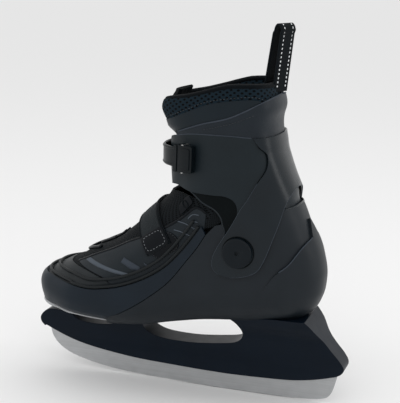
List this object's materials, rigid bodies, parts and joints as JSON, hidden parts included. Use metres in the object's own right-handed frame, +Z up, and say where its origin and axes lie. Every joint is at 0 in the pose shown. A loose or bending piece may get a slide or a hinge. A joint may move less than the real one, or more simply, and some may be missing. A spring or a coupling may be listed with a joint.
{
  "type": "ice skate",
  "caption": "Adjustable hard-shell recreational ice skate with a pivoting ankle cuff, sliding toe section, ratchet and hook-and-loop straps, and a steel blade in a moulded holder.",
  "frame": {"origin": "middle of the flat of the blade, where the skate rests on the ice", "axes": "+X to the toe, +Y to the inner side of the right foot, +Z up from the ice"},
  "size_m": [0.2885, 0.101, 0.329],
  "materials": {
    "steel": "brushed stainless steel",
    "fastener": "zinc plated",
    "holder": "satin moulded plastic",
    "shell": "satin moulded plastic",
    "sole_plate": "moulded plastic",
    "cuff": "satin moulded plastic",
    "frame": "semi-gloss moulded plastic",
    "flap": "soft moulded",
    "cap": "satin moulded plastic",
    "upper": "coated textile with printed panels",
    "piping": "soft cord",
    "webbing": "woven webbing",
    "rubber": "satin moulded rubber",
    "mesh": "spacer mesh over foam",
    "panel": "coated synthetic leather",
    "liner": "brushed lining",
    "nylon": "moulded nylon"
  },
  "bodies": {
    "chassis": {"blade": "steel", "blade_holder": "holder", "holder_screw_1": "fastener", "holder_screw_2": "fastener", "holder_screw_3": "fastener", "holder_screw_4": "fastener", "main_shell": "shell", "liner_heel": "liner", "liner_side_inner": "liner", "liner_side_outer": "liner", "liner_board": "liner", "throat_mesh": "mesh", "eyelet_patch": "rubber", "footbed": "liner", "size_button_spring": "fastener", "pivot_screw_inner": "cap", "pivot_nut_inner": "fastener", "pivot_bushing_inner": "nylon", "pivot_screw_outer": "cap", "pivot_nut_outer": "fastener", "pivot_bushing_outer": "nylon"},
    "toe": {"toe_shell": "shell", "liner_toe": "liner", "toe_sole_plate": "sole_plate", "toe_upper": "upper", "piping_lower": "piping", "piping_upper": "piping", "instep_strap": "webbing", "instep_strap_tip": "rubber", "instep_strap_ring": "nylon"},
    "cuff": {"cuff_flap_inner": "flap", "cuff_flap_outer": "flap", "cuff_wing": "cuff", "cuff_frame": "frame", "liner_collar": "mesh", "rear_panel": "panel", "tongue": "mesh", "pull_loop": "webbing", "strap_receiver": "nylon", "ladder_strap": "nylon", "buckle_base": "nylon", "lever_pin": "fastener", "pawl_pin": "fastener", "pawl_spring": "fastener", "strap_rivet_1": "fastener", "strap_rivet_2": "fastener", "strap_rivet_3": "fastener", "strap_rivet_4": "fastener"},
    "size_lock": {"size_button": "nylon"},
    "buckle_lever": {"buckle_lever": "nylon"},
    "release_pawl": {"release_pawl": "nylon"}
  },
  "joints": [
    {"name": "cuff_flex", "type": "hinge", "parent": "chassis", "child": "cuff", "pos_m": [-0.014, 0, 0.14], "axis": [0, 1, 0], "range_deg": [0, 10]},
    {"name": "toe_slide", "type": "slide", "parent": "chassis", "child": "toe", "axis": [1, 0, 0], "range_m": [0, 0.018]},
    {"name": "size_button_press", "type": "slide", "parent": "chassis", "child": "size_lock", "axis": [0, 1, 0], "range_m": [0, 0.003], "stiffness_N_per_m": 900},
    {"name": "buckle_lever_open", "type": "hinge", "parent": "cuff", "child": "buckle_lever", "pos_m": [0.0262, -0.0461, 0.215], "axis": [0, 0, 1], "range_deg": [0, 90]},
    {"name": "release_pawl_press", "type": "hinge", "parent": "cuff", "child": "release_pawl", "pos_m": [0.00208, -0.0463, 0.215], "axis": [0, 0, -1], "range_deg": [0, 9], "stiffness_Nm_per_rad": 0.06}
  ]
}
